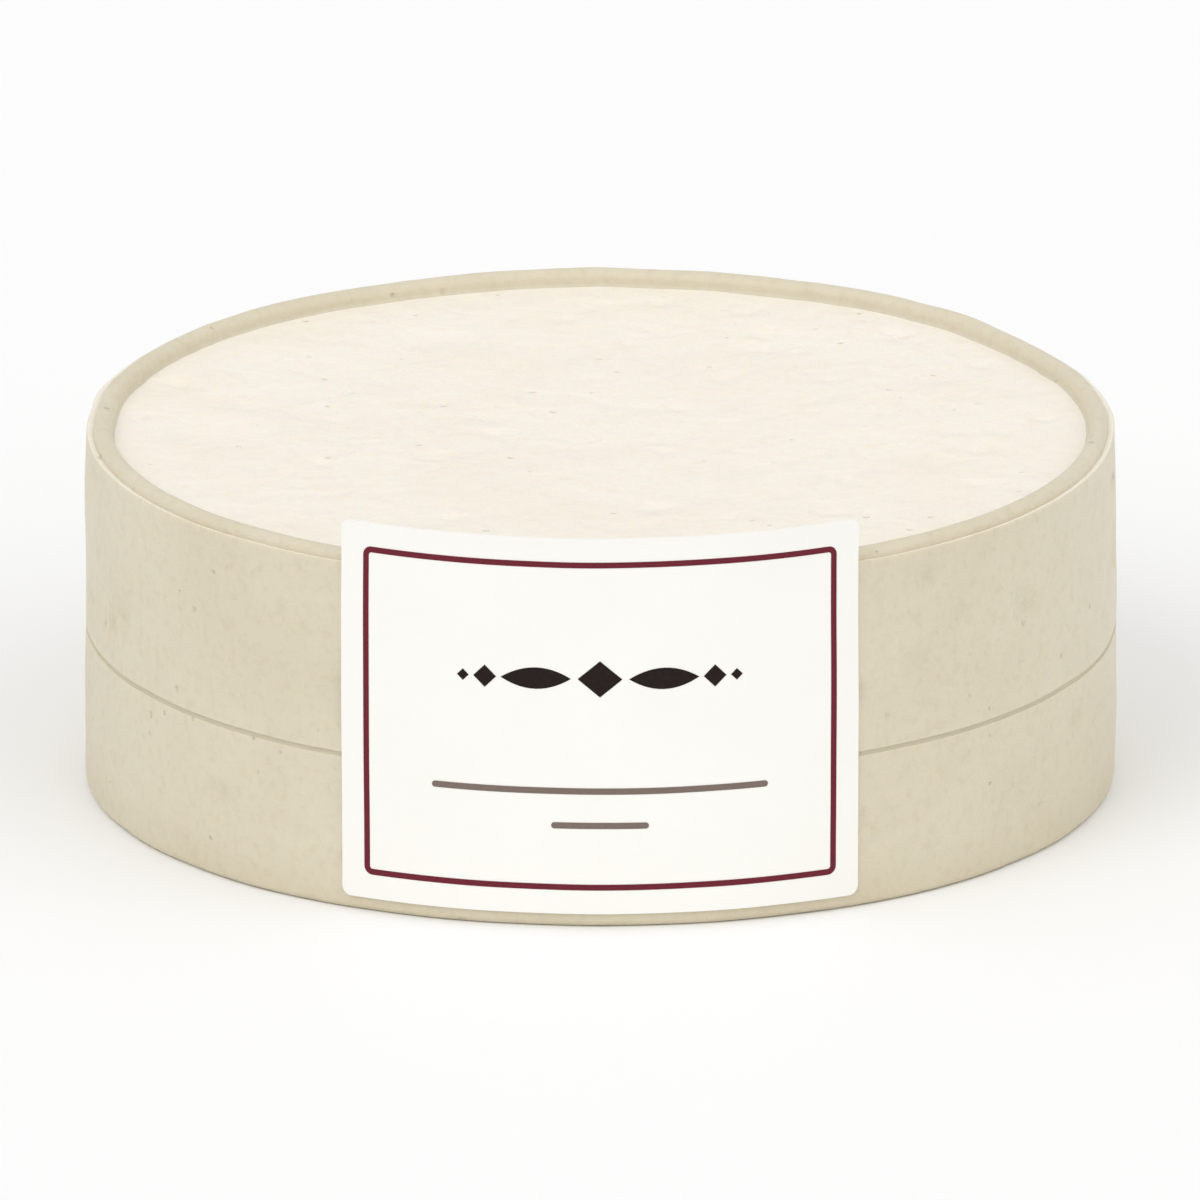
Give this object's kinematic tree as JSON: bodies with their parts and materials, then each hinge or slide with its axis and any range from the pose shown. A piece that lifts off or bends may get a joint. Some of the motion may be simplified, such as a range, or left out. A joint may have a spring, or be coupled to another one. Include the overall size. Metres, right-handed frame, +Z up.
{
  "type": "goat cheese wheel",
  "caption": "Whole soft goat's milk cheese, a low round drum with a rounded lip round its sunk top, a fine line round its side and a paper label on its front.",
  "frame": {"origin": "centre of the underside, on the drum's axis", "axes": "+Z up along the drum's axis, -Y out of the front, through the middle of the label, +X to the right as the front is seen"},
  "size_m": [0.12, 0.1206, 0.0477],
  "materials": {
    "rind": "matt waxy rind, paler and creamier on the sunk top",
    "label_paper": "uncoated off-white paper with a thin printed border"
  },
  "bodies": {
    "root": {"cheese": "rind", "label": "label_paper"}
  },
  "joints": []
}
